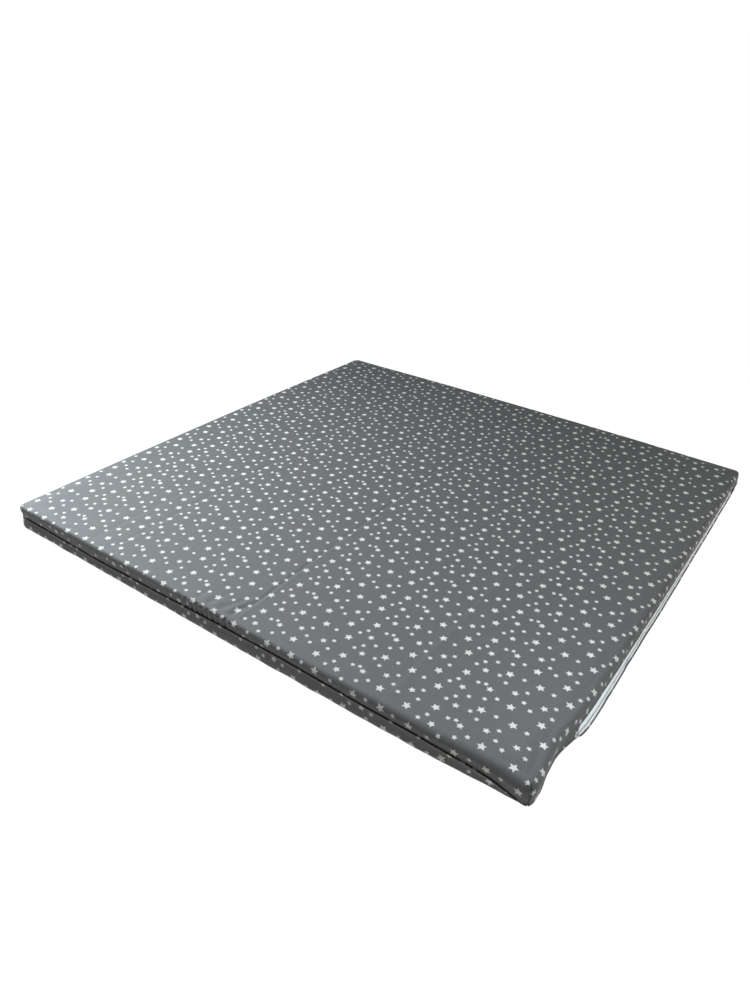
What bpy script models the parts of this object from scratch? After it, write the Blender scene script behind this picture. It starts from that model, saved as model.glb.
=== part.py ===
"""A square foam playpen mattress in a sewn cotton cover with a white zip along one side.

The cover is cut as an upper and a lower panel. Each is turned down over part of the side and sewn
at its corners, and the two meet in a seam that runs round the side and wanders up and down. The
zip lies in that seam on the right-hand side, in a channel, and pushes the side out a little.

Metres, +Z up, origin under the middle of the mattress. X runs along the front side, from the left
corner to the right one, and Y along the side with the zip, from front to back.
"""

import math
from collections import namedtuple

import bmesh
import bpy
from mathutils import Vector

# Driving dimensions
WIDTH = 1.0  # along the front
DEPTH = 1.0  # along the zip
HEIGHT = 0.05
CORNER_RADIUS = 0.014  # in plan
EDGE_RADIUS = 0.009  # between the top or the bottom and the side
CROWN_DROP = 0.0008  # how far the top falls slowly towards its edges, before the quick fall
CROWN_POWER = 4
QUICK_FALL = 0.026  # how near the edge the rest of a station's drop is
PULL_POWER = 3  # how soon a station's pull fades away from the side
CORNER_SEAM_WIDTH = 0.0012
CORNER_SEAM_DEPTH = 0.0009

SEAM_HALF_WIDTH = 0.0006
SEAM_DEPTH = 0.0014
SEAM_REACH = 0.010  # how far above and below the seam the side follows it in or out
LIP = 0.0011  # between the surface of the side and the floor of a channel

ZIP_START = -0.365
ZIP_END = 0.43
ZIP_BEND_CUTS = (0.012, 0.024, 0.036, 0.048, 0.062, 0.078)  # from its front end, where it bends
ZIP_FADE = 0.02
ZIP_HALF_WIDTH = 0.0064
ZIP_DEPTH = 0.0018
TAPE_THICKNESS = 0.001
COIL_HALF_WIDTH = 0.0011
COIL_THICKNESS = 0.0018
CLEARANCE = 0.0003  # between one piece and the next

HALF_WIDTH = WIDTH / 2
HALF_DEPTH = DEPTH / 2
MESH_STEP = 0.046
CUT_GAP = 0.004
TOUCH = 1e-6
COVER_SMOOTH_ANGLE = math.radians(50)
ZIP_SMOOTH_ANGLE = math.radians(30)

# Creases left by folding the cover, which run from front to back
Crease = namedtuple("Crease", "front_x back_x depth width ridge")
CREASES = (
    Crease(front_x=-0.309, back_x=-0.305, depth=0.0006, width=0.007, ridge=0.0003),
    Crease(front_x=-0.262, back_x=-0.266, depth=0.0009, width=0.008, ridge=0.0004),
    Crease(front_x=0.017, back_x=-0.003, depth=0.0018, width=0.009, ridge=0.0008),
    Crease(front_x=0.277, back_x=0.263, depth=0.0004, width=0.007, ridge=0.0007),
)
TROUGH_SHARE = 0.6  # a crease's trough is so much narrower than its ridge
FOLD_FADE = 0.02  # creases and gathers flatten out so near the edge
LEAN_WIDTH = 0.03

# Short folds that fan out over the top from where the front seam is gathered
Gather = namedtuple("Gather", "x lean reach depth width")
GATHERS = (
    Gather(x=-0.064, lean=0.10, reach=0.055, depth=0.0009, width=0.004),
    Gather(x=-0.042, lean=0.22, reach=0.080, depth=0.0012, width=0.004),
    Gather(x=-0.020, lean=0.34, reach=0.110, depth=0.0016, width=0.005),
    Gather(x=0.004, lean=0.12, reach=0.095, depth=0.0018, width=0.005),
)
GATHER_FULL = 0.3  # the share of its reach where a gather keeps its depth
GATHER_CUTS = {"start": -0.074, "step": 0.0105, "count": 8}
NEAR_FRONT_CUTS = (0.030, 0.060, 0.095)  # from the front edge

# The side all round. A place counts whole sides from the left front corner, by way of the front,
# the zip side, the back and the left. drop is how much lower than the middle the top's edge lies,
# drawn is how far the cover draws the side in, and out is how far the seam stands out from it.
Station = namedtuple("Station", "place seam_height drop drawn out")
STATIONS = (
    Station(place=0.00, seam_height=0.0250, drop=0.0030, drawn=0.0008, out=-0.0030),
    Station(place=0.08, seam_height=0.0246, drop=0.0012, drawn=0.0012, out=-0.0024),
    Station(place=0.22, seam_height=0.0228, drop=0.0012, drawn=0.0008, out=-0.0020),
    Station(place=0.45, seam_height=0.0285, drop=0.0015, drawn=0.0002, out=-0.0018),
    Station(place=0.59, seam_height=0.0310, drop=0.0018, drawn=0.0000, out=-0.0018),
    Station(place=0.74, seam_height=0.0280, drop=0.0022, drawn=0.0000, out=-0.0018),
    Station(place=0.85, seam_height=0.0262, drop=0.0030, drawn=0.0012, out=-0.0020),
    Station(place=0.94, seam_height=0.0190, drop=0.0042, drawn=0.0040, out=-0.0022),
    Station(place=1.00, seam_height=0.0065, drop=0.0075, drawn=0.0026, out=-0.0025),
    Station(place=1.03, seam_height=0.0090, drop=0.0054, drawn=0.0020, out=-0.0022),
    Station(place=1.06, seam_height=0.0120, drop=0.0044, drawn=0.0064, out=-0.0018),
    Station(place=1.09, seam_height=0.0160, drop=0.0038, drawn=0.0086, out=0.0000),
    Station(place=1.12, seam_height=0.0190, drop=0.0036, drawn=0.0070, out=0.0052),
    Station(place=1.15, seam_height=0.0210, drop=0.0034, drawn=0.0036, out=0.0095),
    Station(place=1.20, seam_height=0.0220, drop=0.0030, drawn=0.0018, out=0.0092),
    Station(place=1.30, seam_height=0.0228, drop=0.0027, drawn=0.0008, out=0.0070),
    Station(place=1.50, seam_height=0.0240, drop=0.0022, drawn=0.0000, out=0.0050),
    Station(place=1.75, seam_height=0.0250, drop=0.0020, drawn=0.0008, out=0.0032),
    Station(place=1.92, seam_height=0.0248, drop=0.0020, drawn=0.0025, out=0.0022),
    Station(place=2.00, seam_height=0.0240, drop=0.0035, drawn=0.0030, out=0.0000),
    Station(place=2.25, seam_height=0.0256, drop=0.0016, drawn=0.0010, out=-0.0022),
    Station(place=2.50, seam_height=0.0244, drop=0.0014, drawn=0.0000, out=-0.0020),
    Station(place=2.75, seam_height=0.0238, drop=0.0014, drawn=0.0010, out=-0.0022),
    Station(place=3.00, seam_height=0.0255, drop=0.0030, drawn=0.0030, out=-0.0030),
    Station(place=3.25, seam_height=0.0242, drop=0.0014, drawn=0.0010, out=-0.0022),
    Station(place=3.50, seam_height=0.0236, drop=0.0012, drawn=0.0000, out=-0.0020),
    Station(place=3.75, seam_height=0.0244, drop=0.0012, drawn=0.0010, out=-0.0022),
    Station(place=4.00, seam_height=0.0250, drop=0.0030, drawn=0.0008, out=-0.0030),
)

# Rows of the side between the seam and a flat face, as shares of the way
UPPER_ROWS = (0.25, 0.47, 0.60, 0.73, 0.87)
LOWER_ROWS = (0.25, 0.47, 0.65, 0.83)
CHANNEL_ROWS = ("lower lip", "lower floor", "middle", "upper floor", "upper lip")
FIRST_CHANNEL_ROW = len(LOWER_ROWS) + 1
LAST_ROW = len(LOWER_ROWS) + len(CHANNEL_ROWS) + len(UPPER_ROWS) + 1

ARC = EDGE_RADIUS * math.pi / 2
FLAT_HEIGHT = HEIGHT - max(crease.ridge for crease in CREASES)
FURTHEST_OUT = max(station.out - station.drawn for station in STATIONS)


def clear_scene():
    for thing in list(bpy.data.objects):
        bpy.data.objects.remove(thing, do_unlink=True)


def smooth_step(low, high, value):
    share = min(1.0, max(0.0, (value - low) / (high - low)))
    return share * share * (3 - 2 * share)


def bell(distance, width):
    return math.exp(-((distance / width) ** 2))


def around(place, column):
    """One column of STATIONS at any place: a smooth curve, closed round the mattress."""
    spans = len(STATIONS) - 1
    place %= 4.0
    at = next(i for i in range(spans) if STATIONS[i + 1].place >= place)

    def knot(index):
        turns, row = divmod(index, spans)
        return STATIONS[row].place + 4.0 * turns, getattr(STATIONS[row], column)

    before, start, end, after = (knot(at + offset) for offset in (-1, 0, 1, 2))
    span = end[0] - start[0]
    rise_start = (end[1] - before[1]) / (end[0] - before[0]) * span
    rise_end = (after[1] - start[1]) / (after[0] - start[0]) * span
    t = (place - start[0]) / span
    return (
        start[1] * (2 * t**3 - 3 * t**2 + 1)
        + rise_start * (t**3 - 2 * t**2 + t)
        + end[1] * (3 * t**2 - 2 * t**3)
        + rise_end * (t**3 - t**2)
    )


def place_of(x, y):
    """Where a point of the square outline lies, as STATIONS counts places."""
    if y < -HALF_DEPTH + TOUCH:
        return (x + HALF_WIDTH) / WIDTH
    if x > HALF_WIDTH - TOUCH:
        return 1 + (y + HALF_DEPTH) / DEPTH
    if y > HALF_DEPTH - TOUCH:
        return 2 + (HALF_WIDTH - x) / WIDTH
    return 3 + (HALF_DEPTH - y) / DEPTH


def zip_share(place):
    """1 where the zip lies in the seam, fading to 0 past its ends."""
    y = (place - 1) * DEPTH - HALF_DEPTH
    if abs(y) > HALF_DEPTH:
        return 0.0
    fade_in = smooth_step(ZIP_START - ZIP_FADE, ZIP_START, y)
    fade_out = smooth_step(ZIP_END, ZIP_END + ZIP_FADE, y)
    return fade_in * (1 - fade_out)


def plan_point(x, y, inset):
    """Brings a point of the square plan onto the plan with round corners, moved in by inset."""
    core_x = max(CORNER_RADIUS - HALF_WIDTH, min(HALF_WIDTH - CORNER_RADIUS, x))
    core_y = max(CORNER_RADIUS - HALF_DEPTH, min(HALF_DEPTH - CORNER_RADIUS, y))
    out = Vector((x - core_x, y - core_y))
    if out.length < TOUCH:
        return x, y
    reach = max(abs(out.x), abs(out.y)) * (1 - inset / CORNER_RADIUS)
    out.normalize()
    return core_x + out.x * reach, core_y + out.y * reach


def beside(x, y):
    """The places on the outline that lie straight across from a point, along X and along Y."""
    up = (y + HALF_DEPTH) / DEPTH
    across = (x + HALF_WIDTH) / WIDTH
    return (1 + up if x > 0 else 4 - up), (across if y < 0 else 3 - across)


def drawn_in(x, y):
    """Pulls the plan in as the tight cover does, most of all near the outline."""
    place_x, place_y = beside(x, y)
    pull_x = around(place_x, "drawn") + (FURTHEST_OUT if x > 0 else 0.0)
    pull_y = around(place_y, "drawn")
    return (
        x - math.copysign(pull_x * abs(x / HALF_WIDTH) ** PULL_POWER, x),
        y - math.copysign(pull_y * abs(y / HALF_DEPTH) ** PULL_POWER, y),
    )


def edge_height(x, y):
    """Height of the top's edge, where it turns down into the side."""
    return FLAT_HEIGHT - around(place_of(x, y), "drop")


def top_height(x, y):
    """Height of the top, which falls slowly at first and then quickly at its edges."""
    far_x = abs(x / HALF_WIDTH)
    far_y = abs(y / HALF_DEPTH)
    slow = CROWN_DROP * (1 - (1 - far_x**CROWN_POWER) * (1 - far_y**CROWN_POWER))
    place_x, place_y = beside(x, y)
    from_x = 1 - smooth_step(0.0, QUICK_FALL, HALF_WIDTH - abs(x))
    from_y = 1 - smooth_step(0.0, QUICK_FALL, HALF_DEPTH - abs(y))
    quick_x = (around(place_x, "drop") - CROWN_DROP) * from_x
    quick_y = (around(place_y, "drop") - CROWN_DROP) * from_y
    return FLAT_HEIGHT - slow - max(quick_x, quick_y)


def crease_x(crease, y):
    share = (y + HALF_DEPTH) / DEPTH
    return crease.front_x + (crease.back_x - crease.front_x) * share


def leaned(x, y):
    """Moves the mesh's lines beside a crease along with it, since a crease runs at a slant."""
    shift = 0.0
    for crease in CREASES:
        middle = (crease.front_x + crease.back_x) / 2
        shift += (crease_x(crease, y) - middle) * bell(x - middle, LEAN_WIDTH)
    return x + shift


def relief(x, y):
    """How far creases and gathers raise or sink the top."""
    to_edge = min(HALF_WIDTH - abs(x), HALF_DEPTH - abs(y))
    height = 0.0
    for crease in CREASES:
        off = x - crease_x(crease, y)
        height += crease.ridge * bell(off - crease.width, crease.width)
        height -= crease.depth * bell(off, crease.width * TROUGH_SHARE)
    height *= smooth_step(0.0, FOLD_FADE, to_edge)
    from_front = y + HALF_DEPTH
    for gather in GATHERS:
        off = x - gather.x - gather.lean * from_front
        fade_in = smooth_step(0.0, FOLD_FADE, from_front)
        fade_out = smooth_step(GATHER_FULL * gather.reach, gather.reach, from_front)
        height -= gather.depth * bell(off, gather.width) * fade_in * (1 - fade_out)
    return height


def face_point(x, y, is_top):
    """A point of the crowned top or of the flat underside."""
    x = leaned(x, y)
    plan = drawn_in(*plan_point(x, y, EDGE_RADIUS))
    return Vector((*plan, top_height(x, y) + relief(x, y) if is_top else 0.0))


def seam_travel(place):
    """How far up the side the seam lies, measured along the side from the flat underside."""
    height = around(place, "seam_height")
    if height < EDGE_RADIUS:
        return EDGE_RADIUS * math.acos(1 - height / EDGE_RADIUS)
    return ARC + height - EDGE_RADIUS


def row_travel(row, place, length):
    """How far up the side a row of the mesh lies, and how deep it is sunk in the channel."""
    middle = seam_travel(place)
    share = zip_share(place)
    half = SEAM_HALF_WIDTH + (ZIP_HALF_WIDTH - SEAM_HALF_WIDTH) * share
    depth = SEAM_DEPTH + (ZIP_DEPTH - SEAM_DEPTH) * share
    low = middle - half - LIP
    high = middle + half + LIP
    if row < FIRST_CHANNEL_ROW:
        return low * (1 - (1.0, *reversed(LOWER_ROWS))[row]), 0.0
    row -= FIRST_CHANNEL_ROW
    if row < len(CHANNEL_ROWS):
        across = (low, middle - half, middle, middle + half, high)[row]
        on_lip = CHANNEL_ROWS[row].endswith("lip")
        return across, 0.0 if on_lip else depth
    row -= len(CHANNEL_ROWS)
    return high + (length - high) * (*UPPER_ROWS, 1.0)[row], 0.0


def section_point(travel, length, height):
    """How far in and how high the side lies, so far up it."""
    from_end = min(travel, length - travel)
    if from_end >= ARC:
        return 0.0, EDGE_RADIUS + travel - ARC
    turn = from_end / EDGE_RADIUS
    rise = EDGE_RADIUS * (1 - math.cos(turn))
    return EDGE_RADIUS * (1 - math.sin(turn)), rise if travel < ARC else height - rise


def side_point(x, y, row):
    """A point of the side, in one row of the mesh, over a point of the square outline."""
    x = leaned(x, y)
    place = place_of(x, y)
    height = edge_height(x, y)
    length = height - 2 * EDGE_RADIUS + 2 * ARC
    travel, sunk = row_travel(row, place, length)
    inset, z = section_point(travel, length, height)
    near_seam = bell(travel - seam_travel(place), SEAM_REACH)
    inset += sunk - near_seam * around(place, "out")
    if HALF_WIDTH - abs(x) < TOUCH and HALF_DEPTH - abs(y) < TOUCH:
        inset += CORNER_SEAM_DEPTH
    return Vector((*drawn_in(*plan_point(x, y, inset)), z))


def cut_places(half, *others):
    """Where the mesh is cut across one way: at the round corners, evenly, and at others."""
    corners = (CORNER_SEAM_WIDTH, CORNER_RADIUS * 0.5, CORNER_RADIUS, QUICK_FALL)
    inner = half - CORNER_RADIUS
    steps = round(2 * inner / MESH_STEP)
    even = [-inner + 2 * inner * i / steps for i in range(1, steps)]
    kept = [at for at in even if all(abs(at - other) > MESH_STEP / 3 for other in others)]
    ends = [side * (half - corner) for corner in corners for side in (-1, 1)]
    return sorted([*kept, *ends, *others])


def cut_across(mesh, axis, places):
    for place in places:
        normal = Vector((0, 0, 0))
        normal[axis] = 1
        everything = [*mesh.verts, *mesh.edges, *mesh.faces]
        bmesh.ops.bisect_plane(
            mesh, geom=everything, dist=TOUCH, plane_co=normal * place, plane_no=normal
        )


def length_cuts():
    """The cuts along Y, which the mattress and its zip share."""
    near_front = [gap - HALF_DEPTH for gap in NEAR_FRONT_CUTS]
    zip_ends = [ZIP_START - ZIP_FADE, ZIP_START, ZIP_END, ZIP_END + ZIP_FADE]
    zip_bend = [ZIP_START + along for along in ZIP_BEND_CUTS]
    return cut_places(HALF_DEPTH, *near_front, *zip_ends, *zip_bend)


def finished(name, mesh, material, smooth_angle):
    bmesh.ops.recalc_face_normals(mesh, faces=mesh.faces)
    data = bpy.data.meshes.new(name)
    mesh.to_mesh(data)
    mesh.free()
    data.materials.append(material)
    data.shade_smooth()
    data.set_sharp_from_angle(angle=smooth_angle)
    return bpy.data.objects.new(name, data)


def make_cushion(material):
    """The whole padded body, shaped from a box whose side is cut into LAST_ROW bands."""
    mesh = bmesh.new()
    bmesh.ops.create_cube(mesh, size=1)
    bmesh.ops.scale(mesh, vec=(WIDTH, DEPTH, LAST_ROW), verts=mesh.verts)
    bmesh.ops.translate(mesh, vec=(0, 0, LAST_ROW / 2), verts=mesh.verts)
    beside_creases = [
        (crease.front_x + crease.back_x) / 2 + side * crease.width
        for crease in CREASES
        for side in (-1, 0, 1, 2)
    ]
    gather_cuts = [
        GATHER_CUTS["start"] + GATHER_CUTS["step"] * i for i in range(GATHER_CUTS["count"])
    ]
    clear_of_creases = [
        at for at in gather_cuts if all(abs(at - other) > CUT_GAP for other in beside_creases)
    ]
    cut_across(mesh, 0, cut_places(HALF_WIDTH, *beside_creases, *clear_of_creases))
    cut_across(mesh, 1, length_cuts())
    cut_across(mesh, 2, range(1, LAST_ROW))
    for vertex in mesh.verts:
        x, y, row = vertex.co
        on_outline = HALF_WIDTH - abs(x) < TOUCH or HALF_DEPTH - abs(y) < TOUCH
        if on_outline:
            vertex.co = side_point(x, y, round(row))
        else:
            vertex.co = face_point(x, y, row > LAST_ROW / 2)
    return finished("cushion", mesh, material, COVER_SMOOTH_ANGLE)


def zip_point(y, across, out):
    """A point over the floor of the zip's channel. across is measured up from its middle."""
    edge_name = "upper floor" if across > 0 else "lower floor"
    middle, edge = (
        side_point(HALF_WIDTH, y, FIRST_CHANNEL_ROW + CHANNEL_ROWS.index(name))
        for name in ("middle", edge_name)
    )
    point = middle.lerp(edge, abs(across) / ZIP_HALF_WIDTH)
    return point + Vector((CLEARANCE + out, 0, 0))


def make_zip_strip(name, low, high, thickness, material):
    """A strip along the zip's channel, between two heights across it."""
    mesh = bmesh.new()
    bmesh.ops.create_cube(mesh, size=1)
    bmesh.ops.scale(mesh, vec=(thickness, ZIP_END - ZIP_START, high - low), verts=mesh.verts)
    middle = Vector((thickness / 2, (ZIP_START + ZIP_END) / 2, (low + high) / 2))
    bmesh.ops.translate(mesh, vec=middle, verts=mesh.verts)
    cut_across(mesh, 1, [at for at in length_cuts() if ZIP_START < at < ZIP_END])
    if low < 0 < high:
        cut_across(mesh, 2, [0.0])
    for vertex in mesh.verts:
        out, y, across = vertex.co
        vertex.co = zip_point(y, across, out)
    return finished(name, mesh, material, ZIP_SMOOTH_ANGLE)


def make_material(name, colour, roughness):
    material = bpy.data.materials.new(name)
    material.use_nodes = True
    shader = material.node_tree.nodes["Principled BSDF"]
    shader.inputs["Base Color"].default_value = (*colour, 1)
    shader.inputs["Roughness"].default_value = roughness
    shader.inputs["Metallic"].default_value = 0
    return material


def make_mattress():
    cotton = make_material("grey cotton", (0.135, 0.14, 0.145), 0.85)
    tape = make_material("white zip tape", (0.72, 0.73, 0.72), 0.75)
    coil = make_material("pale nylon", (0.62, 0.63, 0.63), 0.4)
    tape_start = COIL_HALF_WIDTH + CLEARANCE
    tape_end = ZIP_HALF_WIDTH - CLEARANCE
    pieces = (
        make_cushion(cotton),
        make_zip_strip("zip_tape_upper", tape_start, tape_end, TAPE_THICKNESS, tape),
        make_zip_strip("zip_tape_lower", -tape_end, -tape_start, TAPE_THICKNESS, tape),
        make_zip_strip("zip_coil", -COIL_HALF_WIDTH, COIL_HALF_WIDTH, COIL_THICKNESS, coil),
    )
    mattress = bpy.data.collections.new("playpen mattress")
    bpy.context.scene.collection.children.link(mattress)
    for piece in pieces:
        mattress.objects.link(piece)


clear_scene()
make_mattress()
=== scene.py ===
"""The playpen mattress, dressed: its printed cotton cover, the zip along its side and the studio."""

import functools
import math

import bmesh
import bpy
from mathutils import Matrix, Vector, noise


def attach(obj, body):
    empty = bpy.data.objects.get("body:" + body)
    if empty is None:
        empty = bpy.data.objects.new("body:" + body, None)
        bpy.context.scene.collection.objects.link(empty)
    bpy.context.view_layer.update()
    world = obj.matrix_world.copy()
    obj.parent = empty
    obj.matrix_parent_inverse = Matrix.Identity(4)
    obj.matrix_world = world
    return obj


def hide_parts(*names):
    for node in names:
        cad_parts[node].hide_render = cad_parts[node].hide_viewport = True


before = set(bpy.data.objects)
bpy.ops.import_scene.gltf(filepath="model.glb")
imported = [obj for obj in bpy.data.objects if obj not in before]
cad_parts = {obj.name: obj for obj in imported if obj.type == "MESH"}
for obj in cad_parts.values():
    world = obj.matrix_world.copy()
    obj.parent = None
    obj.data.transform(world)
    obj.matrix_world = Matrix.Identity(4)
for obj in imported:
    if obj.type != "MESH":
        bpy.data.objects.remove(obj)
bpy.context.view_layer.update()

# The mattress, in metres, as its solids have it
HALF = 0.5
HEIGHT = 0.05
CORNER_RADIUS = 0.014
FOOT_RADIUS = 0.008
CROWN_DROP = 0.0008
SETTLED = 0.0008
QUICK_FALL = 0.026
BORDER = 0.045
SEAM_REACH = 0.010
ZIP_LEAN = 0.0048
TOUCH = 1e-6

ZIP_START = -0.365
ZIP_END = 0.43
ZIP_FADE = 0.02

# The side all round. A place counts whole sides from the left front corner, by way of the front,
# the zip side, the back and the left. Lengths are in millimetres: the seam's height, how far the
# top's edge drops, how far the side is drawn in, how far the seam stands out, the rounding of the
# top's edge, and how far the lower panel tucks under below the seam.
STATION_COLUMNS = ("place", "seam", "drop", "drawn", "out", "radius", "tuck")
STATIONS = (
    (0.00, 25.0, 3.0, 0.8, -3.0, 6.0, 0.5),
    (0.08, 24.6, 1.2, 1.2, -2.4, 6.0, 0.4),
    (0.22, 22.8, 1.2, 0.8, -2.0, 6.5, 0.3),
    (0.45, 28.5, 1.5, 0.2, -1.8, 7.5, 0.4),
    (0.59, 31.0, 1.8, 0.0, -1.8, 8.5, 0.4),
    (0.74, 28.0, 2.2, 0.0, -1.8, 10.0, 0.8),
    (0.85, 26.2, 3.0, 1.2, -2.0, 12.0, 1.6),
    (0.94, 19.0, 4.2, 4.0, -2.2, 12.5, 3.2),
    (1.00, 6.5, 7.5, 2.6, -2.5, 12.5, 4.5),
    (1.03, 9.0, 5.4, 2.0, -2.2, 12.5, 3.0),
    (1.06, 12.0, 4.4, 6.4, -1.8, 12.0, 1.5),
    (1.09, 16.0, 3.8, 8.6, 0.0, 11.0, 0.8),
    (1.12, 19.0, 3.6, 7.0, 5.2, 10.0, 0.4),
    (1.15, 21.0, 3.4, 3.6, 9.5, 10.0, 0.0),
    (1.20, 22.0, 3.0, 1.8, 9.2, 10.0, 0.0),
    (1.30, 22.8, 2.7, 0.8, 7.0, 10.0, 0.0),
    (1.50, 24.0, 2.2, 0.0, 5.0, 10.0, 0.0),
    (1.75, 25.0, 2.0, 0.8, 3.2, 9.0, 0.0),
    (1.92, 24.8, 2.0, 2.5, 2.2, 9.0, 0.0),
    (2.00, 24.0, 3.5, 3.0, 0.0, 9.0, 0.4),
    (2.25, 25.6, 1.6, 1.0, -2.2, 8.0, 0.4),
    (2.50, 24.4, 1.4, 0.0, -2.0, 8.0, 0.4),
    (2.75, 23.8, 1.4, 1.0, -2.2, 8.0, 0.4),
    (3.00, 25.5, 3.0, 3.0, -3.0, 8.0, 0.5),
    (3.25, 24.2, 1.4, 1.0, -2.2, 8.0, 0.4),
    (3.50, 23.6, 1.2, 0.0, -2.0, 7.0, 0.4),
    (3.75, 24.4, 1.2, 1.0, -2.2, 6.0, 0.4),
    (4.00, 25.0, 3.0, 0.8, -3.0, 6.0, 0.5),
)

# Creases left by folding, which run from front to back: where they start and end, their depth,
# width and the ridge beside them, in millimetres from the middle
CREASES = (
    (-309, -305, 0.5, 5.5, 0.2),
    (-262, -266, 0.7, 6.0, 0.3),
    (-205, -198, 0.25, 6.0, 0.2),
    (17, -3, 1.4, 3.6, 0.35),
    (277, 263, 0.3, 6.0, 0.5),
)

# Folds that fan out over the top from the gathered front seam: where they start, how far they lean
# for each length, how far they reach, their depth and their width
GATHERS = (
    (-84, 0.02, 34, 0.6, 2.4),
    (-64, 0.10, 48, 1.1, 2.6),
    (-53, 0.16, 40, -0.7, 2.6),
    (-42, 0.22, 66, 1.2, 2.8),
    (-31, 0.28, 52, -0.8, 2.8),
    (-20, 0.34, 84, 1.1, 3.2),
    (-8, 0.30, 70, -0.9, 3.4),
    (4, 0.16, 80, 1.7, 3.6),
    (15, 0.05, 50, -0.9, 3.6),
    (28, 0.00, 40, 0.5, 3.2),
)

CREASE_SWAY = 0.0016
CREASE_FULLNESS = 0.45
CREASE_FADE = 0.02
GATHER_FULL = 0.3
GATHER_FADE = 0.012
SLACK_FADE = 0.03
PUCKER_PLACE = (-0.175, -0.38)
PUCKER_DEPTH = 0.5
PUCKER_WIDTH = 0.006

# The pleats below them on the side: where they lie, their depth and their width
PLEATS = (
    (-88, 1.2, 1.8),
    (-76, 1.8, 2.0),
    (-64, 3.0, 2.1),
    (-53, 2.4, 1.8),
    (-43, 3.4, 2.1),
    (-32, 2.4, 1.9),
    (-21, 3.2, 2.3),
    (-9, 2.2, 2.1),
    (4, 2.8, 2.4),
    (17, 1.2, 2.1),
)

SIDE_SLACK = 1.2
FOOT_WAVE = 1.3
FOOT_WAVE_REACH = 0.007
CORNER_SEAM_DEPTH = 0.0026
CORNER_SEAM_WIDTH = 0.0010
CORNER_RIDGE_HEIGHT = 0.0010
CORNER_RIDGE_PLACE = 0.0032
CORNER_RIDGE_WIDTH = 0.0018

# The seam's rows of the mesh: how far above the seam and how deep, in millimetres, first along the
# plain seam and then along the zip, where the two edges of the cover open round its tape
BAND = (
    (-6.5, 0.0, -10.2, 0.0),
    (-4.6, -0.2, -9.0, -0.1),
    (-3.0, -0.9, -8.0, -0.7),
    (-2.0, -1.4, -7.3, -1.0),
    (-1.2, -1.3, -6.8, -0.7),
    (-0.65, 0.2, -6.5, 0.5),
    (-0.4, 2.2, -6.2, 2.2),
    (0.0, 2.6, 0.0, 2.4),
    (0.4, 2.2, 6.2, 2.2),
    (0.65, 0.7, 6.5, 0.6),
    (1.2, -0.1, 6.8, -0.4),
    (1.9, -0.3, 7.3, -0.7),
    (3.0, -0.1, 8.0, -0.5),
    (4.6, 0.0, 9.0, -0.1),
    (6.5, 0.0, 10.2, 0.0),
)
LOWER_ROWS = 8
UPPER_ROWS = 11
SEAM_ROW = LOWER_ROWS + len(BAND) // 2
LAST_ROW = LOWER_ROWS + len(BAND) + UPPER_ROWS

# Where the lower panel's edge rides up over the zip's tape: how far along, how much and how wide
FLAPS = (
    (-348, 2.2, 9),
    (-276, 3.6, 14),
    (-196, 4.2, 16),
    (-112, 3.0, 18),
    (40, 1.6, 30),
    (190, 1.2, 40),
    (330, 1.8, 34),
)

# The mesh's lines across: from, to and how many steps
X_ZONES = (
    (-0.5, -0.4988, 1),
    (-0.4988, -0.486, 6),
    (-0.486, -0.33, 26),
    (-0.33, -0.24, 34),
    (-0.24, -0.12, 22),
    (-0.12, 0.045, 66),
    (0.045, 0.245, 34),
    (0.245, 0.30, 20),
    (0.30, 0.486, 31),
    (0.486, 0.4988, 6),
    (0.4988, 0.5, 1),
)
Y_ZONES = (
    (-0.5, -0.4988, 1),
    (-0.4988, -0.486, 6),
    (-0.486, -0.30, 58),
    (-0.30, 0.486, 112),
    (0.486, 0.4988, 6),
    (0.4988, 0.5, 1),
)

MM = 0.001


def smooth_step(low, high, value):
    share = min(1.0, max(0.0, (value - low) / (high - low)))
    return share * share * (3 - 2 * share)


def bell(distance, width):
    return math.exp(-((distance / width) ** 2))


def rough(x, y, size, seed):
    """Slow, even noise between about -1 and 1, over lumps of a size."""
    return noise.noise(Vector((x / size, y / size, seed)))


@functools.lru_cache(maxsize=None)
def around(place, column):
    """One column of STATIONS at any place, in metres: a smooth curve, closed round the mattress."""
    column = STATION_COLUMNS.index(column)
    spans = len(STATIONS) - 1
    place %= 4.0
    at = next(i for i in range(spans) if STATIONS[i + 1][0] >= place)

    def knot(index):
        turns, row = divmod(index, spans)
        return STATIONS[row][0] + 4.0 * turns, STATIONS[row][column] * MM

    before, start, end, after = (knot(at + offset) for offset in (-1, 0, 1, 2))
    span = end[0] - start[0]
    rise_start = (end[1] - before[1]) / (end[0] - before[0]) * span
    rise_end = (after[1] - start[1]) / (after[0] - start[0]) * span
    t = (place - start[0]) / span
    return (
        start[1] * (2 * t**3 - 3 * t**2 + 1)
        + rise_start * (t**3 - 2 * t**2 + t)
        + end[1] * (3 * t**2 - 2 * t**3)
        + rise_end * (t**3 - t**2)
    )


FLAT_HEIGHT = HEIGHT - SETTLED
FURTHEST_OUT = max(row[4] - row[3] for row in STATIONS) * MM


def place_of(x, y):
    """Where a point of the square outline lies, as STATIONS counts places."""
    if y < -HALF + TOUCH:
        return x + HALF
    if x > HALF - TOUCH:
        return 1 + y + HALF
    if y > HALF - TOUCH:
        return 2 + HALF - x
    return 3 + HALF - y


def zip_share(place):
    """1 where the zip lies in the seam, fading to 0 past its ends."""
    y = place - 1 - HALF
    if abs(y) > HALF:
        return 0.0
    fade_in = smooth_step(ZIP_START - ZIP_FADE / 2, ZIP_START + ZIP_FADE / 2, y)
    fade_out = smooth_step(ZIP_END, ZIP_END + ZIP_FADE, y)
    return fade_in * (1 - fade_out)


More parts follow.
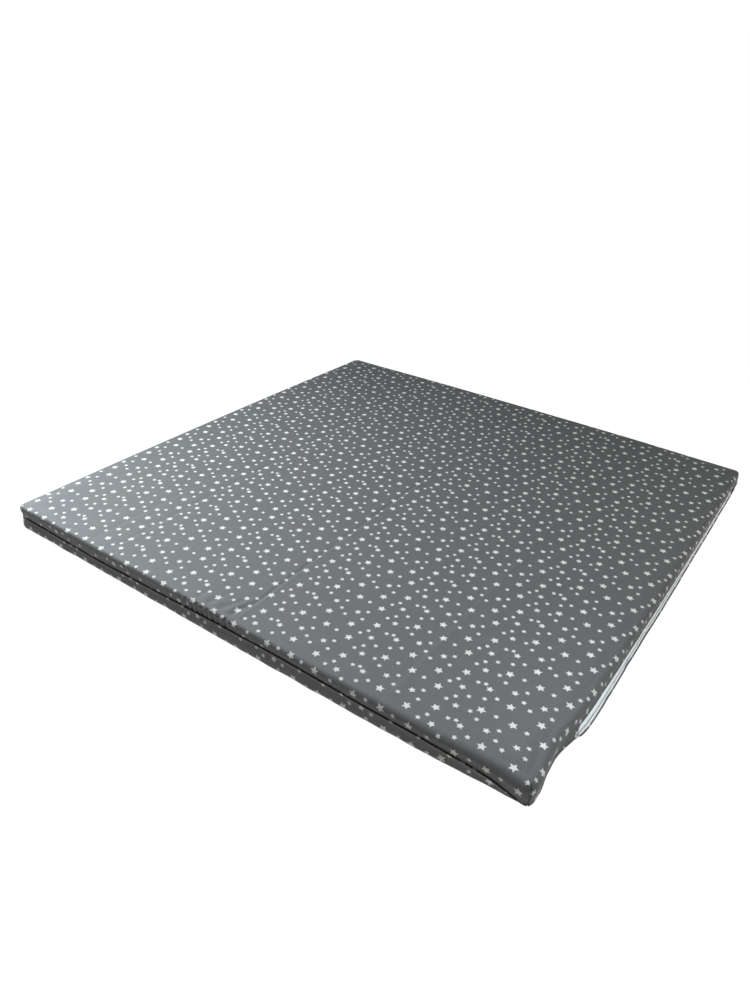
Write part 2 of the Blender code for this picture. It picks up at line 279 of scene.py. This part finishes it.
def plan_point(x, y, inset):
    """Brings a point of the square outline onto the one with round corners, moved in by inset."""
    core_x = max(CORNER_RADIUS - HALF, min(HALF - CORNER_RADIUS, x))
    core_y = max(CORNER_RADIUS - HALF, min(HALF - CORNER_RADIUS, y))
    out = Vector((x - core_x, y - core_y)).normalized()
    reach = CORNER_RADIUS - inset
    return core_x + out.x * reach, core_y + out.y * reach


def flat_point(x, y, radius_at):
    """Brings a point of the square onto a flat face, whose rim lies in from the outline."""
    far = max(abs(x), abs(y))
    from_edge = HALF - far
    if from_edge > BORDER:
        return x, y
    out_x, out_y = x * HALF / far, y * HALF / far
    rim_x, rim_y = plan_point(out_x, out_y, radius_at(place_of(out_x, out_y)))
    inner = (HALF - BORDER) / far
    share = from_edge / BORDER
    return rim_x + (x * inner - rim_x) * share, rim_y + (y * inner - rim_y) * share


def beside(x, y):
    """The places on the outline that lie straight across from a point, along X and along Y."""
    up = y + HALF
    across = x + HALF
    return (1 + up if x > 0 else 4 - up), (across if y < 0 else 3 - across)


def drawn_in(x, y):
    """Pulls the plan in as the tight cover does, most of all near the outline."""
    place_x, place_y = beside(x, y)
    pull_x = around(place_x, "drawn") + (FURTHEST_OUT if x > 0 else 0.0)
    pull_y = around(place_y, "drawn")
    return (
        x - math.copysign(pull_x * abs(x / HALF) ** 3, x),
        y - math.copysign(pull_y * abs(y / HALF) ** 3, y),
    )


def top_height(x, y):
    """Height of the top, which falls slowly at first and then quickly at its edges."""
    slow = CROWN_DROP * (1 - (1 - abs(x / HALF) ** 4) * (1 - abs(y / HALF) ** 4))
    place_x, place_y = beside(x, y)
    from_x = 1 - smooth_step(0.0, QUICK_FALL, HALF - abs(x))
    from_y = 1 - smooth_step(0.0, QUICK_FALL, HALF - abs(y))
    quick_x = (around(place_x, "drop") - CROWN_DROP) * from_x
    quick_y = (around(place_y, "drop") - CROWN_DROP) * from_y
    return FLAT_HEIGHT - slow - max(quick_x, quick_y)


def folds(x, y):
    """How far creases, gathers and the cover's slack raise or sink the top."""
    to_edge = min(HALF - abs(x), HALF - abs(y))
    height = 0.0
    for row, (front_x, back_x, depth, width, ridge) in enumerate(CREASES):
        share = y + HALF
        middle = (front_x + (back_x - front_x) * share) * MM
        middle += CREASE_SWAY * rough(0, y, 0.09, 11 + row)
        fullness = 1 + CREASE_FULLNESS * rough(0, y, 0.16, 31 + row)
        off = x - middle
        width *= MM
        height += ridge * MM * fullness * bell(off - width, width)
        height -= depth * MM * fullness * bell(off, width * 0.6)
    height *= smooth_step(0.0, CREASE_FADE, to_edge)
    from_front = y + HALF
    for start, lean, reach, depth, width in GATHERS:
        off = x - start * MM - lean * from_front
        fade = 1 - smooth_step(GATHER_FULL * reach * MM, reach * MM, from_front)
        risen = smooth_step(0.0, GATHER_FADE, from_front)
        height -= depth * MM * bell(off, width * MM) * fade * risen
    slack = 0.5 * rough(x, y, 0.14, 3) + 0.3 * rough(x * 1.6, y, 0.05, 5)
    height += slack * MM * smooth_step(0.0, SLACK_FADE, to_edge)
    pucker = Vector((x - PUCKER_PLACE[0], y - PUCKER_PLACE[1])).length
    height -= PUCKER_DEPTH * MM * bell(pucker, PUCKER_WIDTH)
    return height


def face_point(x, y, is_top):
    """A point of the crowned top or of the flat underside."""
    if not is_top:
        return Vector((*drawn_in(*flat_point(x, y, lambda place: FOOT_RADIUS)), 0.0))
    plan = drawn_in(*flat_point(x, y, lambda place: around(place, "radius")))
    return Vector((*plan, top_height(x, y) + folds(x, y)))


class Side:
    """The section of the side at one point of the square outline."""

    def __init__(self, x, y):
        self.x = x
        self.y = y
        self.place = place_of(x, y)
        self.height = FLAT_HEIGHT - around(self.place, "drop")
        self.radius = around(self.place, "radius")
        self.top_arc = self.radius * math.pi / 2
        self.foot_arc = FOOT_RADIUS * math.pi / 2
        self.wall = self.height - self.radius - FOOT_RADIUS
        self.length = self.wall + self.top_arc + self.foot_arc
        self.zip = zip_share(self.place)
        seam = around(self.place, "seam")
        if seam < FOOT_RADIUS:
            self.seam = FOOT_RADIUS * math.acos(1 - seam / FOOT_RADIUS)
        else:
            self.seam = self.foot_arc + seam - FOOT_RADIUS
        self.foot = self.point(0.0, 0.0)
        self.edge = self.point(self.length, 0.0)

    def row(self, row):
        """How far up the side a row of the mesh lies, and how deep it is sunk in the seam."""
        low = self.band(0)[0]
        high = self.band(len(BAND) - 1)[0]
        if row < LOWER_ROWS:
            return low * row / LOWER_ROWS, 0.0
        if row < LOWER_ROWS + len(BAND):
            return self.band(row - LOWER_ROWS)
        share = (row - LOWER_ROWS - len(BAND) + 1) / (UPPER_ROWS + 1)
        return high + (self.length - high) * share, 0.0

    def band(self, row):
        seam_off, seam_sunk, zip_off, zip_sunk = BAND[row]
        off = seam_off + (zip_off - seam_off) * self.zip
        sunk = seam_sunk + (zip_sunk - seam_sunk) * self.zip
        if zip_off < 0:
            near_edge = bell(zip_off + 6.6, 2.0)
            for along, cover, width in FLAPS:
                off += cover * bell(self.y - along * MM, width * MM) * self.zip * near_edge
        return self.seam + off * MM, sunk * MM

    def section(self, travel):
        """How far in and how high the side lies, so far up it."""
        if travel < self.foot_arc:
            turn = travel / FOOT_RADIUS
            return FOOT_RADIUS * (1 - math.sin(turn)), FOOT_RADIUS * (1 - math.cos(turn))
        left = self.length - travel
        if left < self.top_arc:
            turn = left / self.radius
            rise = self.radius * (1 - math.cos(turn))
            return self.radius * (1 - math.sin(turn)), self.height - rise
        return 0.0, FOOT_RADIUS + travel - self.foot_arc

    def point(self, travel, sunk):
        inset, z = self.section(travel)
        furthest = self.seam - ZIP_LEAN * self.zip
        inset += sunk - bell(travel - furthest, SEAM_REACH) * around(self.place, "out")
        if travel < self.seam:
            share = travel / self.seam
            inset += around(self.place, "tuck") * math.sin(math.pi * share) ** 2
        else:
            share = (travel - self.seam) / (self.length - self.seam)
            inset += self.pleats() * math.sin(math.pi * min(1.0, share * 0.75 + 0.18))
        slack = 0.5 * rough(self.place * 12, travel * 30, 1.0, 21)
        slack += 0.25 * rough(self.place * 38, travel * 60, 1.0, 23)
        inset -= slack * MM * math.sin(math.pi * min(1.0, travel / self.length)) * SIDE_SLACK
        wave = rough(self.place * 28, 0, 1.0, 27)
        inset += FOOT_WAVE * MM * wave * bell(travel - self.foot_arc * 0.6, FOOT_WAVE_REACH)
        inset += self.corner_seam()
        return Vector((*drawn_in(*plan_point(self.x, self.y, inset)), z))

    def print_start(self, on_front, lower, travel):
        """Where the print leaves a flat face. Round a corner it spreads as the cloth does."""
        rim = self.foot if lower else self.edge
        along = self.x if on_front else self.y
        past = abs(along) - HALF + CORNER_RADIUS
        if past <= 0:
            return rim.x, rim.y
        reach = CORNER_RADIUS - self.section(travel)[0]
        spread = HALF - CORNER_RADIUS + reach * math.atan(past / CORNER_RADIUS)
        across = HALF - (FOOT_RADIUS if lower else self.radius)
        spread = math.copysign(spread, along)
        if on_front:
            return drawn_in(spread, math.copysign(across, self.y))
        return drawn_in(math.copysign(across, self.x), spread)

    def pleats(self):
        if self.y > -HALF + TOUCH:
            return 0.0
        return sum(depth * MM * bell(self.x - x * MM, w * MM) for x, depth, w in PLEATS)

    def corner_seam(self):
        from_corner = abs((self.place + 0.5) % 1.0 - 0.5)
        groove = CORNER_SEAM_DEPTH * bell(from_corner, CORNER_SEAM_WIDTH)
        ridge = CORNER_RIDGE_HEIGHT * bell(from_corner - CORNER_RIDGE_PLACE, CORNER_RIDGE_WIDTH)
        return groove - ridge


def lines(zones):
    """Where the mesh's lines lie across it."""
    places = [zones[0][0]]
    for low, high, steps in zones:
        places += [low + (high - low) * (i + 1) / steps for i in range(steps)]
    return places


def gridded_box(counts):
    """A box cut into so many steps each way, with its points at whole numbers."""
    mesh = bmesh.new()
    bmesh.ops.create_cube(mesh, size=1)
    bmesh.ops.translate(mesh, vec=(0.5, 0.5, 0.5), verts=mesh.verts)
    bmesh.ops.scale(mesh, vec=counts, verts=mesh.verts)
    for axis, count in enumerate(counts):
        along = [e for e in mesh.edges if abs((e.verts[0].co - e.verts[1].co)[axis]) > 0.5]
        bmesh.ops.subdivide_edges(mesh, edges=along, cuts=count - 1, use_grid_fill=True)
    return mesh


# The lower panel was cut from another part of the cloth, half a turn round and a little stretched
LOWER_PRINT_SCALE = 0.978
LOWER_PRINT_SLANT = 0.027
LOWER_PRINT_START = (0.0032, 0.493)

# How far the cover stretches and slants the printed cloth over the top, in millimetres at the
# edges: for x squared, x times y, y squared, and then for the cubes from x to y
PRINT_STRETCH = (
    (-3.96, -1.74, 3.24, -4.95, -1.69, -5.57, -1.32),
    (4.16, -3.12, -10.39, -3.27, -3.19, -4.15, -5.56),
)


# How far the print is pulled out over the front edge: from where along it, and by how much
FRONT_SLIP = ((-0.5, 0.0), (0.0, 0.0), (0.10, 1.6), (0.24, 2.6), (0.35, 4.0), (0.44, 5.6), (0.6, 7.2))
SLIP_REACH = 0.07


def front_slip(x):
    for (start, low), (end, high) in zip(FRONT_SLIP, FRONT_SLIP[1:]):
        if x < end:
            return (low + (high - low) * (x - start) / (end - start)) * MM
    return high * MM


def on_cloth(point, out_x, out_y, lower):
    """Where a point of the top or underside lies on the printed cloth, and so far out from it."""
    if lower:
        across = point[0] + out_x
        up = point[1] + out_y + LOWER_PRINT_SLANT * across
        return LOWER_PRINT_START[0] - LOWER_PRINT_SCALE * across, LOWER_PRINT_START[1] + up
    x, y = point[0] / HALF, point[1] / HALF
    powers = (x * x, x * y, y * y, x**3, x * x * y, x * y * y, y**3)
    moved = [sum(a * b for a, b in zip(row, powers)) * MM for row in PRINT_STRETCH]
    near_front = 1 - smooth_step(0.0, SLIP_REACH, point[1] + HALF)
    slip = front_slip(point[0]) * near_front
    return point[0] + moved[0] + out_x, point[1] + moved[1] + out_y - slip


def finished(name, mesh, materials):
    data = bpy.data.meshes.new(name)
    mesh.to_mesh(data)
    mesh.free()
    for material in materials:
        data.materials.append(material)
    data.shade_smooth()
    piece = bpy.data.objects.new(name, data)
    bpy.context.scene.collection.objects.link(piece)
    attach(piece, "root")
    return piece


def make_cover(material):
    """The cotton cover, drawn over the foam: a closed form with its seam sunk all round it."""
    x_lines = lines(X_ZONES)
    y_lines = lines(Y_ZONES)
    mesh = gridded_box((len(x_lines) - 1, len(y_lines) - 1, LAST_ROW))
    last_x = len(x_lines) - 1
    last_y = len(y_lines) - 1
    inner = [
        face
        for face in mesh.faces
        if all(v.co.z < 0.5 and 1.5 < v.co.x < last_x - 1.5 for v in face.verts)
        and all(1.5 < v.co.y < last_y - 1.5 for v in face.verts)
    ]
    bmesh.ops.delete(mesh, geom=inner, context="FACES")
    rim = [edge for edge in mesh.edges if edge.is_boundary]
    bmesh.ops.holes_fill(mesh, edges=rim, sides=0)
    layer = mesh.loops.layers.uv.new("print")
    laid = {}
    sides = {}
    for vertex in mesh.verts:
        i, j, row = (round(value) for value in vertex.co)
        if i in (0, last_x) or j in (0, last_y):
            if (i, j) not in sides:
                sides[i, j] = Side(x_lines[i], y_lines[j])
            side = sides[i, j]
            travel, sunk = side.row(row)
            vertex.co = side.point(travel, sunk)
            laid[vertex] = (j, row, side, travel)
        else:
            vertex.co = face_point(x_lines[i], y_lines[j], row > 0)
            laid[vertex] = (j, row, None, 0.0)
    flat = {}
    for face in mesh.faces:
        spans = [laid[vertex] for vertex in face.verts]
        rows = [span[1] for span in spans]
        lower = max(rows) <= SEAM_ROW
        on_side = max(rows) > min(rows)
        on_front = len({span[0] for span in spans}) == 1
        for loop in face.loops:
            _, row, side, travel = laid[loop.vert]
            if on_side:
                start = side.print_start(on_front, lower, travel)
                out = travel if lower else side.length - travel
                out_x = 0 if on_front else math.copysign(out, side.x)
                out_y = math.copysign(out, side.y) if on_front else 0
                loop[layer].uv = on_cloth(start, out_x, out_y, lower)
            else:
                if loop.vert not in flat:
                    flat[loop.vert] = on_cloth(loop.vert.co, 0, 0, lower)
                loop[layer].uv = flat[loop.vert]
    bmesh.ops.recalc_face_normals(mesh, faces=mesh.faces)
    cover = finished("cotton_cover", mesh, [material])
    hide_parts("cushion")
    return cover


CHANNEL_DEPTH = 0.0024


def zip_point(y, across, out):
    """A point over the floor of the zip's channel. across is measured up from its middle."""
    side = Side(HALF, y)
    travel = side.seam + across
    return side.point(travel, CHANNEL_DEPTH) + Vector((out, 0, 0))


ZIP_STEPS = 200
TAPE_WIDTH = 0.0100
TAPE_INNER = 0.0005
TAPE_THICKNESS = 0.0005
TAPE_OUT = 0.0006
TAPE_UNDER = (0.0052, 0.0075)
TAPE_DIP = 0.0022
TAPE_WAVE = 0.0002


def make_tape(name, node, way, material):
    """One woven tape of the zip: a thin strip whose outer half runs under the cover's edge."""
    mesh = bmesh.new()
    bmesh.ops.create_cube(mesh, size=1)
    length = ZIP_END - ZIP_START
    bmesh.ops.scale(mesh, vec=(TAPE_THICKNESS, length, TAPE_WIDTH), verts=mesh.verts)
    middle = (TAPE_THICKNESS / 2, (ZIP_START + ZIP_END) / 2, way * (TAPE_INNER + TAPE_WIDTH / 2))
    bmesh.ops.translate(mesh, vec=middle, verts=mesh.verts)
    along = [e for e in mesh.edges if abs((e.verts[0].co - e.verts[1].co).y) > length / 2]
    bmesh.ops.subdivide_edges(mesh, edges=along, cuts=ZIP_STEPS, use_grid_fill=True)
    up = [e for e in mesh.edges if abs((e.verts[0].co - e.verts[1].co).z) > TAPE_WIDTH / 2]
    bmesh.ops.subdivide_edges(mesh, edges=up, cuts=6, use_grid_fill=True)
    layer = mesh.loops.layers.uv.new("weave")
    for face in mesh.faces:
        for loop in face.loops:
            loop[layer].uv = (loop.vert.co.y, loop.vert.co.z)
    for vertex in mesh.verts:
        out, y, across = vertex.co
        hidden = smooth_step(*TAPE_UNDER, abs(across))
        wave = TAPE_WAVE * rough(y, way, 0.02, 41)
        vertex.co = zip_point(y, across, TAPE_OUT + out + wave - TAPE_DIP * hidden)
    bmesh.ops.recalc_face_normals(mesh, faces=mesh.faces)
    tape = finished(name, mesh, [material])
    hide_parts(node)
    return tape


TOOTH_PITCH = 0.0014
TOOTH_RADIUS = 0.0005
TOOTH_LENGTH = 0.0032
TOOTH_ACROSS = 0.0003
TOOTH_OUT = 0.0014
TOOTH_SLANT = math.radians(14)


def make_teeth(material):
    """The closed nylon coil: short round loops that reach across from each tape in turn."""
    loop = bmesh.new()
    bmesh.ops.create_uvsphere(loop, u_segments=6, v_segments=4, radius=TOOTH_RADIUS)
    bmesh.ops.scale(loop, vec=(1, 1, TOOTH_LENGTH / 2 / TOOTH_RADIUS), verts=loop.verts)
    pattern = bpy.data.meshes.new("zip_loop")
    loop.to_mesh(pattern)
    loop.free()
    mesh = bmesh.new()
    for tooth in range(int((ZIP_END - ZIP_START) / TOOTH_PITCH)):
        y = ZIP_START + (tooth + 0.5) * TOOTH_PITCH
        way = 1 if tooth % 2 else -1
        start = zip_point(y, way * TOOTH_ACROSS, TOOTH_OUT)
        ahead = zip_point(y + MM, way * TOOTH_ACROSS, TOOTH_OUT) - start
        turn = Vector((0, 1, 0)).rotation_difference(ahead).to_matrix().to_4x4()
        turn @= Matrix.Rotation(way * TOOTH_SLANT, 4, "X")
        before = len(mesh.verts)
        mesh.from_mesh(pattern)
        mesh.verts.ensure_lookup_table()
        for vertex in mesh.verts[before:]:
            vertex.co = start + turn @ vertex.co
    teeth = finished("zip_teeth", mesh, [material])
    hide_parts("zip_coil")
    return teeth


class Socket:
    """A socket in a material, so that its maths can be written as Python."""

    def __init__(self, shader, socket):
        self.shader = shader
        self.socket = socket

    def math(self, operation, *others):
        values = {0: self}
        values.update({at + 1: value for at, value in enumerate(others)})
        return self.shader.node("ShaderNodeMath", {"operation": operation}, values)

    def swapped(self, operation, other):
        return self.shader.node("ShaderNodeMath", {"operation": operation}, {0: other, 1: self})

    def __add__(self, other):
        return self.math("ADD", other)

    __radd__ = __add__

    def __sub__(self, other):
        return self.math("SUBTRACT", other)

    def __rsub__(self, other):
        return self.swapped("SUBTRACT", other)

    def __mul__(self, other):
        return self.math("MULTIPLY", other)

    __rmul__ = __mul__

    def __truediv__(self, other):
        return self.math("DIVIDE", other)

    def __lt__(self, other):
        return self.math("LESS_THAN", other)

    def __gt__(self, other):
        return self.math("GREATER_THAN", other)

    def vector(self, operation, *others, output=0):
        values = {0: self}
        values.update({at + 1: value for at, value in enumerate(others)})
        settings = {"operation": operation}
        return self.shader.node("ShaderNodeVectorMath", settings, values, output)

    def parts(self):
        node = self.shader.node("ShaderNodeSeparateXYZ", {}, {0: self}).socket.node
        return [Socket(self.shader, out) for out in node.outputs]


class Shader:
    """One material and its nodes."""

    def __init__(self, name, roughness, **constants):
        self.material = bpy.data.materials.new(name)
        self.material.use_nodes = True
        self.tree = self.material.node_tree
        self.surface = self.tree.nodes["Principled BSDF"]
        self.surface.inputs["Roughness"].default_value = roughness
        for name, value in constants.items():
            self.surface.inputs[name.replace("_", " ")].default_value = value

    def node(self, kind, settings, values, output=0):
        """Adds a node: its settings first, then numbers or links for its sockets."""
        made = self.tree.nodes.new(kind)
        for name, value in settings.items():
            setattr(made, name, value)
        for name, value in values.items():
            if isinstance(value, Socket):
                self.tree.links.new(value.socket, made.inputs[name])
            else:
                made.inputs[name].default_value = value
        return Socket(self, made.outputs[output])

    def feed(self, name, value):
        self.tree.links.new(value.socket, self.surface.inputs[name])

    def uv(self, name):
        return self.node("ShaderNodeUVMap", {"uv_map": name}, {})

    def join(self, x, y, z=0.0):
        return self.node("ShaderNodeCombineXYZ", {}, {0: x, 1: y, 2: z})

    def noise(self, place, scale, detail=2.0, stretch=(1, 1, 1)):
        place = place.vector("MULTIPLY", stretch)
        values = {"Vector": place, "Scale": scale, "Detail": detail}
        return self.node("ShaderNodeTexNoise", {}, values)

    def mix(self, factor, first, second):
        settings = {"data_type": "RGBA"}
        return self.node("ShaderNodeMix", settings, {0: factor, 6: first, 7: second}, 2)

    def tint(self, colour, value):
        """A colour made lighter or darker by a value."""
        settings = {"operation": "SCALE"}
        return self.node("ShaderNodeVectorMath", settings, {0: colour, "Scale": value})

    def bump(self, height, distance, strength):
        values = {"Height": height, "Distance": distance, "Strength": strength}
        self.feed("Normal", self.node("ShaderNodeBump", {}, values))


# The printed stars, as one small repeat: the two steps from one repeat to the next, where the
# first star lies, and then each star's place from it and its turn, in millimetres and degrees
REPEAT_ACROSS = (147.48, -4.18)
REPEAT_UP = (-0.75, 82.16)
PRINT_START = (86.2, -259.9)
LARGE_STARS = (
    (0.0, 0.0, 8),
    (42.3, 1.7, 50),
    (84.1, -1.8, 20),
    (100.9, -37.6, 62),
    (27.3, -54.4, 30),
    (70.3, -58.3, 5),
)
MIDDLE_STARS = (
    (118.8, -18.0, 40),
    (21.0, -28.3, 15),
    (61.5, -30.0, 55),
    (139.8, -46.7, 25),
    (110.1, -65.3, 68),
)
SMALL_STARS = (
    (19.9, 1.7, 12),
    (61.3, 0.3, 44),
    (110.7, -3.3, 60),
    (103.4, -14.5, 28),
    (137.7, -14.8, 5),
    (150.4, -22.7, 50),
    (33.2, -17.9, 33),
    (73.3, -20.9, 65),
    (37.1, -36.7, 18),
    (76.3, -39.8, 40),
    (49.1, -45.1, 2),
    (121.9, -44.3, 56),
    (131.5, -41.0, 22),
    (155.0, -56.5, 48),
    (98.5, -55.1, 10),
    (91.5, -66.0, 35),
    (124.9, -75.2, 60),
    (142.6, -66.3, 15),
)
STAR_GROUPS = (
    (LARGE_STARS, 6.6),
    (MIDDLE_STARS, 5.4),
    (SMALL_STARS, 3.95),
)
STAR_WAIST = 0.48
TURN_CODE = 1e-4


def star_mask(shader, place):
    """White inside the printed stars. A star's turn travels in its offset's third number."""
    width, height = REPEAT_ACROSS[0] * MM, REPEAT_UP[1] * MM
    rise, lean = REPEAT_ACROSS[1] / REPEAT_ACROSS[0], REPEAT_UP[0] / REPEAT_UP[1]
    square = 1 - rise * lean
    u, v, _ = place.parts()
    flat = shader.join((u - v * lean) / square, (v - u * rise) / square)
    half = (width / 2, height / 2, 1.0)
    mask = None
    for stars, radius in STAR_GROUPS:
        found = None
        for x, y, degrees in stars:
            x = (PRINT_START[0] + x) * MM
            y = (PRINT_START[1] + y) * MM
            code = -(math.radians(degrees) + 1) * TURN_CODE
            at = ((x - y * lean) / square, (y - x * rise) / square, code)
            offset = flat.vector("SUBTRACT", at)
            offset = offset.vector("WRAP", half, tuple(-side for side in half))
            near = offset.vector("LENGTH", output=1) < radius * 1.1 * MM
            kept = shader.tint(offset, near)
            found = found.vector("ADD", kept) if found else kept
        one = star_shape(found, radius * MM, rise, lean)
        mask = mask.math("MAXIMUM", one) if mask else one
    return mask


def star_shape(offset, radius, rise, lean):
    """One five-pointed star round the middle of an offset."""
    along, up, code = offset.parts()
    x = along + up * lean
    y = up + along * rise
    turned = y.math("ARCTAN2", x) - (code / TURN_CODE - 1)
    folded = turned.math("PINGPONG", math.pi / 5)
    from_middle = (x * x + y * y).math("SQRT")
    waist_x = STAR_WAIST * math.cos(math.pi / 5)
    waist_y = STAR_WAIST * math.sin(math.pi / 5)
    facing = math.atan2(1 - waist_x, waist_y)
    past = from_middle * (folded - facing).math("COSINE") - radius * math.cos(facing)
    past = past.math("MAXIMUM", from_middle - radius * 0.96)
    soft = 0.0002
    inside = (soft - past) / (2 * soft)
    inside = inside.math("MAXIMUM", 0.0).math("MINIMUM", 1.0)
    return inside * (code > TURN_CODE / 2)


COTTON_GREY = (0.0690, 0.0680, 0.0662)
STAR_WHITE = (0.49, 0.475, 0.44)
THREAD = 0.00055
COTTON_ROUGH = 0.70
PRINT_ROUGH = 1.0


def make_cotton():
    shader = Shader("printed cotton", 0.9, Sheen_Weight=0.03, Specular_IOR_Level=0.5)
    place = shader.uv("print")
    u, v, _ = place.parts()
    turns = 2 * math.pi / THREAD
    warp = (u * turns).math("SINE")
    weft = (v * turns).math("SINE")
    weave = warp * weft
    weft_slub = shader.noise(place, 1.0, 3.0, (90, 1400, 1))
    warp_slub = shader.noise(place, 1.0, 3.0, (900, 45, 1))
    slub = weft_slub * 0.7 + warp_slub * 1.5
    cloud = shader.noise(place, 9.0, 3.0)
    shade = 0.66 + slub * 0.27 + cloud * 0.10 + weave * 0.03
    mask = star_mask(shader, place)
    wear = 0.93 + shader.noise(place, 420.0, 2.0) * 0.12
    grey = shader.tint(COTTON_GREY, shade)
    white = shader.tint(STAR_WHITE, wear * (0.97 + weave * 0.03))
    shader.feed("Base Color", shader.mix(mask, grey, white))
    shader.feed("Roughness", COTTON_ROUGH + mask * (PRINT_ROUGH - COTTON_ROUGH))
    shader.bump(weave * 0.5 + slub * 0.8 + mask * 0.3, 0.00012, 0.55)
    return shader.material


TAPE_WHITE = (0.80, 0.81, 0.80)
TAPE_RIB = 0.0009
TAPE_TWILL = 0.0012
NYLON_WHITE = (0.74, 0.75, 0.75)


def make_tape_cloth():
    shader = Shader("white woven tape", 0.7, Sheen_Weight=0.2)
    place = shader.uv("weave")
    along, across, _ = place.parts()
    rib = (along * (2 * math.pi / TAPE_RIB)).math("SINE")
    slant = ((along + across.math("ABSOLUTE")) * (2 * math.pi / TAPE_TWILL)).math("SINE")
    shade = 0.94 + rib * 0.03 + slant * 0.03 + shader.noise(place, 240.0) * 0.04
    shader.feed("Base Color", shader.tint(TAPE_WHITE, shade))
    shader.feed("Roughness", 0.66 + slant * 0.04)
    shader.bump(rib * 0.5 + slant * 0.5, 0.0001, 0.6)
    return shader.material


def make_nylon():
    shader = Shader("pale nylon", 0.35, Coat_Weight=0.1)
    place = shader.node("ShaderNodeTexCoord", {}, {}, 3)
    shade = 0.92 + shader.noise(place, 300.0) * 0.16
    shader.feed("Base Color", shader.tint(NYLON_WHITE, shade))
    shader.feed("Roughness", 0.3 + shader.noise(place, 900.0) * 0.12)
    return shader.material


FLOOR_WHITE = (0.02, 0.02, 0.02)
FLOOR_GLOW = 1.0


def make_studio_white(name, glow):
    shader = Shader(name, 0.9, Emission_Strength=glow, Specular_IOR_Level=0.2)
    shader.surface.inputs["Emission Color"].default_value = (1, 1, 1, 1)
    place = shader.node("ShaderNodeTexCoord", {}, {}, 3)
    shade = 0.98 + shader.noise(place, 3.0) * 0.04
    shader.feed("Base Color", shader.tint(FLOOR_WHITE, shade))
    return shader.material


FLOOR_SIZE = 60.0


def make_floor():
    """A wide pale floor that gives off its own even white, so that it takes no shadow."""
    mesh = bmesh.new()
    bmesh.ops.create_grid(mesh, x_segments=1, y_segments=1, size=FLOOR_SIZE / 2)
    data = bpy.data.meshes.new("studio_floor")
    mesh.to_mesh(data)
    mesh.free()
    data.materials.append(make_studio_white("pale studio floor", FLOOR_GLOW))
    floor = bpy.data.objects.new("studio_floor", data)
    bpy.context.scene.collection.objects.link(floor)


# The studio's lights: place, what they are aimed at, radius, power in watts and colour
LIGHTS = (
    ("over the left front", (-0.6, -0.28, 1.0), (0.0, -0.5, 0.05), 0.22, 14.0, (0.9, 1.0, 1.05)),
    ("over the middle", (0.1, -0.30, 1.1), (0.1, -0.5, 0.05), 0.22, 3.4, (0.96, 1.0, 1.03)),
    ("beyond the left side", (-1.4, -0.36, 0.7), (0.5, -0.5, 0.05), 0.22, 29.5, (0.91, 1.0, 1.07)),
    ("low by the right front", (0.62, -0.38, 0.42), (0.5, -0.5, 0.05), 0.12, 1.5, (0.9, 1.0, 1.08)),
    ("over the right side", (0.9, 0.3, 0.6), (0.4, 0.3, 0.05), 0.2, 3.3, (0.98, 1.0, 1.02)),
)
SKY = (0.04, 0.04, 0.04)
BACKDROP = (1.0, 1.0, 1.0)


def make_sky(world):
    """A dim even light from all round, in front of a plain white backdrop."""
    nodes = world.node_tree.nodes
    links = world.node_tree.links
    path = nodes.new("ShaderNodeLightPath")
    mix = nodes.new("ShaderNodeMix")
    mix.data_type = "RGBA"
    mix.inputs[6].default_value = (*SKY, 1)
    mix.inputs[7].default_value = (*BACKDROP, 1)
    links.new(path.outputs["Is Camera Ray"], mix.inputs[0])
    links.new(mix.outputs[2], nodes["Background"].inputs["Color"])


def make_lights():
    for name, place, aim, radius, power, colour in LIGHTS:
        data = bpy.data.lights.new(name, "AREA")
        data.shape = "DISK"
        data.size = radius * 2
        data.energy = power
        data.color = colour
        light = bpy.data.objects.new(name, data)
        light.location = place
        light.rotation_euler = (Vector(aim) - Vector(place)).to_track_quat("-Z", "Y").to_euler()
        light.visible_camera = False
        bpy.context.scene.collection.objects.link(light)
    world = bpy.data.worlds.new("studio")
    world.use_nodes = True
    make_sky(world)
    bpy.context.scene.world = world
    bpy.context.scene.view_settings.view_transform = "Standard"


# The camera, solved from the photograph's edges of the mattress
FOCAL_SHARE = 0.7727
CAMERA_PLACE = (0.65945, -1.10384, 0.76123)
YAW = math.radians(123.8316)
PITCH = math.radians(30.2133)
ROLL = math.radians(2.8673)


def make_camera():
    data = bpy.data.cameras.new("camera")
    data.sensor_width = 36
    data.lens = FOCAL_SHARE * data.sensor_width
    ahead = Vector(
        (math.cos(PITCH) * math.cos(YAW), math.cos(PITCH) * math.sin(YAW), -math.sin(PITCH))
    )
    right = ahead.cross(Vector((0, 0, 1))).normalized()
    up = right.cross(ahead)
    tilted = right * math.cos(ROLL) + up * math.sin(ROLL)
    above = up * math.cos(ROLL) - right * math.sin(ROLL)
    turn = Matrix((tilted, above, -ahead)).transposed().to_4x4()
    camera = bpy.data.objects.new("camera", data)
    camera.matrix_world = Matrix.Translation(CAMERA_PLACE) @ turn
    bpy.context.scene.collection.objects.link(camera)
    bpy.context.scene.camera = camera


make_camera()
make_lights()
make_floor()
make_cover(make_cotton())
tape_cloth = make_tape_cloth()
make_tape("zip_tape_upper_woven", "zip_tape_upper", 1, tape_cloth)
make_tape("zip_tape_lower_woven", "zip_tape_lower", -1, tape_cloth)
make_teeth(make_nylon())
